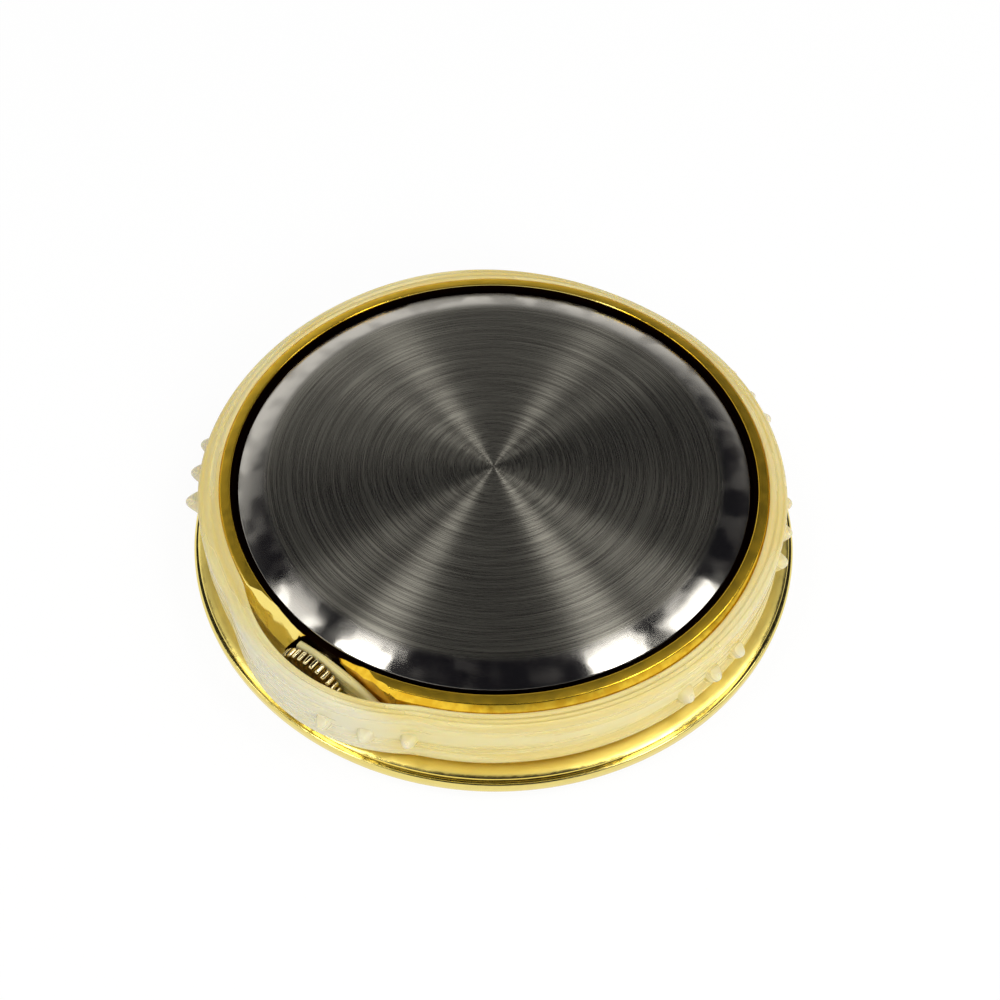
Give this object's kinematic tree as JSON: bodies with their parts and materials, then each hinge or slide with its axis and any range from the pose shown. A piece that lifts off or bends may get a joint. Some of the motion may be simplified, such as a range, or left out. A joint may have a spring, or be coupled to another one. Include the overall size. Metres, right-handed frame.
{
  "type": "clock insert",
  "caption": "Round quartz clock insert seen from its back: polished gold case, press-in steel back, soft toothed grip band and a knurled crown",
  "frame": {"origin": "bottom centre: the middle of the bezel's front, on the surface it lies on", "axes": "+Z from the dial to the case back, -Y towards the camera, the crown at 232 degrees from +X"},
  "size_m": [0.0364, 0.0364, 0.0063],
  "materials": {
    "gold_bright": "polished gold plate",
    "gold_case": "gold plate, satin on the rim and polished on the chamfer",
    "crystal": "clear mineral crystal, polished",
    "gasket_clear": "soft milky gasket, matte",
    "gasket_black": "black rubber, matte",
    "dial_white": "white lacquer, semi-gloss",
    "hand_black": "black lacquer, gloss",
    "holder_plastic": "moulded plastic, matte",
    "plate_nickel": "nickel plate, fine grained",
    "wheel_brass": "brass, cut teeth, polished",
    "wheel_plastic": "moulded plastic, satin",
    "rotor_black": "bonded magnet, dark satin",
    "stator_iron": "soft iron, satin",
    "winding_enamel": "enamelled copper wire, gloss",
    "board_green": "solder resist, semi-gloss",
    "chip_black": "black epoxy, matte",
    "can_nickel": "nickel can, polished",
    "cell_steel": "stainless cell, satin",
    "spring_steel": "spring steel, satin",
    "steel_turned": "turned steel, polished",
    "crown_gold": "gold plate on the knurl, darker satin end",
    "tube_brass": "turned brass, polished",
    "back_steel": "stainless steel, spin-brushed, with a polished bevel",
    "band_silicone": "translucent cream silicone, satin"
  },
  "bodies": {
    "case": {"bezel": "gold_bright", "crystal": "crystal", "crystal_gasket": "gasket_clear", "case_body": "gold_case", "chapter_ring": "gold_bright", "dial": "dial_white", "hour_markers": "hand_black", "movement_holder": "holder_plastic", "main_plate": "plate_nickel", "centre_bridge": "plate_nickel", "train_bridge": "plate_nickel", "stator": "stator_iron", "coil_core": "stator_iron", "coil_winding": "winding_enamel", "circuit_board": "board_green", "circuit_chip": "chip_black", "quartz_can": "can_nickel", "battery": "cell_steel", "battery_strap": "spring_steel", "battery_contact": "spring_steel", "lever_spring": "spring_steel", "crown_tube": "tube_brass", "movement_screws": "steel_turned", "back_gasket": "gasket_black", "case_back": "back_steel", "grip_band": "band_silicone"},
    "stem_seal": {"stem_gasket": "gasket_black"},
    "crown": {"crown": "crown_gold", "stem": "steel_turned"},
    "clutch": {"clutch_wheel": "steel_turned"},
    "setting_lever": {"setting_lever": "spring_steel"},
    "yoke": {"yoke": "spring_steel"},
    "minute_train": {"centre_wheel": "wheel_brass", "minute_hand": "hand_black"},
    "third_train": {"third_wheel": "wheel_brass"},
    "seconds_train": {"seconds_wheel": "wheel_brass", "seconds_hand": "hand_black"},
    "intermediate": {"intermediate_wheel": "wheel_plastic"},
    "rotor": {"rotor": "rotor_black"},
    "minute_wheel": {"minute_wheel": "wheel_plastic"},
    "hour_train": {"hour_wheel": "wheel_plastic", "hour_hand": "hand_black"},
    "setting_wheel": {"setting_wheel": "spring_steel"}
  },
  "joints": [
    {"name": "crown_pull", "type": "slide", "parent": "case", "child": "stem_seal", "axis": [-0.6157, -0.788, 0], "range_m": [0, 0.001], "deforming": ["grip_band"]},
    {"name": "crown_turn", "type": "hinge", "parent": "stem_seal", "child": "crown", "pos_m": [0, 0, 0.00395], "axis": [-0.6157, -0.788, 0], "continuous": true},
    {"name": "clutch_shift", "type": "slide", "parent": "crown", "child": "clutch", "axis": [-0.6157, -0.788, 0], "range_m": [-0.0015, 0]},
    {"name": "lever_swing", "type": "hinge", "parent": "case", "child": "setting_lever", "pos_m": [-0.0042, -0.00958, 0], "axis": [0, 0, 1], "range_deg": [0, 22.19]},
    {"name": "yoke_swing", "type": "hinge", "parent": "case", "child": "yoke", "pos_m": [-0.00726, -0.00459, 0], "axis": [0, 0, 1], "range_deg": [0, 9.9]},
    {"name": "minute_turn", "type": "hinge", "parent": "case", "child": "minute_train", "pos_m": [0, 0, 0], "axis": [0, 0, 1], "continuous": true},
    {"name": "third_turn", "type": "hinge", "parent": "case", "child": "third_train", "pos_m": [-0.00321, 0.00045, 0], "axis": [0, 0, 1], "continuous": true},
    {"name": "seconds_turn", "type": "hinge", "parent": "case", "child": "seconds_train", "pos_m": [0, 0, 0], "axis": [0, 0, 1], "continuous": true},
    {"name": "intermediate_turn", "type": "hinge", "parent": "case", "child": "intermediate", "pos_m": [-0.00029, 0.00238, 0], "axis": [0, 0, 1], "continuous": true},
    {"name": "rotor_turn", "type": "hinge", "parent": "case", "child": "rotor", "pos_m": [-0.00057, 0.00461, 0], "axis": [0, 0, 1], "continuous": true},
    {"name": "minute_wheel_turn", "type": "hinge", "parent": "case", "child": "minute_wheel", "pos_m": [-0.00177, -0.00227, 0], "axis": [0, 0, 1], "continuous": true},
    {"name": "hour_turn", "type": "hinge", "parent": "case", "child": "hour_train", "pos_m": [0, 0, 0], "axis": [0, 0, 1], "continuous": true},
    {"name": "setting_turn", "type": "hinge", "parent": "case", "child": "setting_wheel", "pos_m": [-0.00369, -0.00473, 0], "axis": [0, 0, 1], "continuous": true}
  ],
  "couplings": [
    {"joint": "clutch_shift", "follows": "crown_pull", "ratio": -1.5},
    {"joint": "lever_swing", "follows": "crown_pull", "rad_per_m": 387.03},
    {"joint": "yoke_swing", "follows": "crown_pull", "rad_per_m": 172.63},
    {"joint": "third_turn", "follows": "minute_turn", "ratio": -7.5},
    {"joint": "seconds_turn", "follows": "minute_turn", "ratio": 60},
    {"joint": "intermediate_turn", "follows": "minute_turn", "ratio": -300},
    {"joint": "rotor_turn", "follows": "minute_turn", "ratio": 1800},
    {"joint": "minute_wheel_turn", "follows": "minute_turn", "ratio": -0.33333},
    {"joint": "hour_turn", "follows": "minute_turn", "ratio": 0.083333},
    {"joint": "setting_turn", "follows": "minute_turn", "ratio": 0.75}
  ]
}
